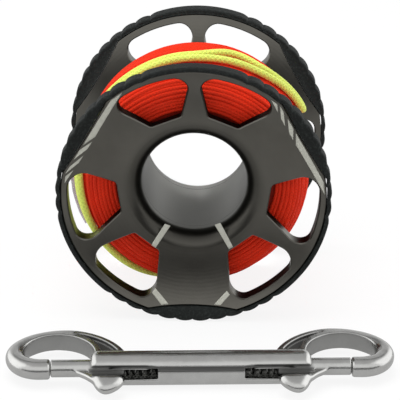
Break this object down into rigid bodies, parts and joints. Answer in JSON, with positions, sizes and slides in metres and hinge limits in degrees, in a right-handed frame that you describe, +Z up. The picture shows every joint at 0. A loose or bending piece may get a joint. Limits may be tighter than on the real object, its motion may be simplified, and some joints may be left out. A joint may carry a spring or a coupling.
{
  "type": "finger spool",
  "caption": "Finger spool of guide line for divers: windowed metal flanges with rubber grip rings, a wound line with a cord leader, and a double-ended bolt snap that locks it.",
  "frame": {"origin": "on the floor, under the middle of the whole set's box", "axes": "+Z up, +X along the snap lying in front of the spool, +Y from the snap to the spool; the spool's axis lies along Y, turned 3.3 degrees clockwise seen from above"},
  "size_m": [0.1226, 0.119, 0.0898],
  "materials": {
    "anodised_aluminium": "satin hard anodised, gunmetal",
    "turned_aluminium": "fine turned",
    "grip_rubber": "moulded, fine grain",
    "red_line": "braided line",
    "yellow_cord": "braided cord",
    "clear_sleeve": "clear shrunk tube",
    "cast_stainless": "cast and polished",
    "spring_wire": "drawn wire"
  },
  "bodies": {
    "spool": {"front_flange": "anodised_aluminium", "rear_flange": "anodised_aluminium", "hub_tube": "turned_aluminium", "front_grip_ring": "grip_rubber", "rear_grip_ring": "grip_rubber", "line_core": "red_line", "line_turns": "red_line", "leader": "yellow_cord", "line_sleeve": "clear_sleeve", "line_end_knot": "red_line"},
    "snap": {"snap_body": "cast_stainless", "left_spring": "spring_wire", "right_spring": "spring_wire"},
    "left_slider": {"left_bolt": "cast_stainless"},
    "right_slider": {"right_bolt": "cast_stainless"}
  },
  "joints": [
    {"name": "snap_lift", "type": "slide", "parent": "spool", "child": "snap", "axis": [0, 0, 1], "range_m": [0, 0.12]},
    {"name": "left_bolt_slide", "type": "slide", "parent": "snap", "child": "left_slider", "axis": [1, 0, 0], "range_m": [0, 0.012], "stiffness_N_per_m": 400, "springref_m": -0.005, "deforming": ["left_spring"]},
    {"name": "right_bolt_slide", "type": "slide", "parent": "snap", "child": "right_slider", "axis": [-1, 0, 0], "range_m": [0, 0.012], "stiffness_N_per_m": 400, "springref_m": -0.005, "deforming": ["right_spring"]}
  ]
}
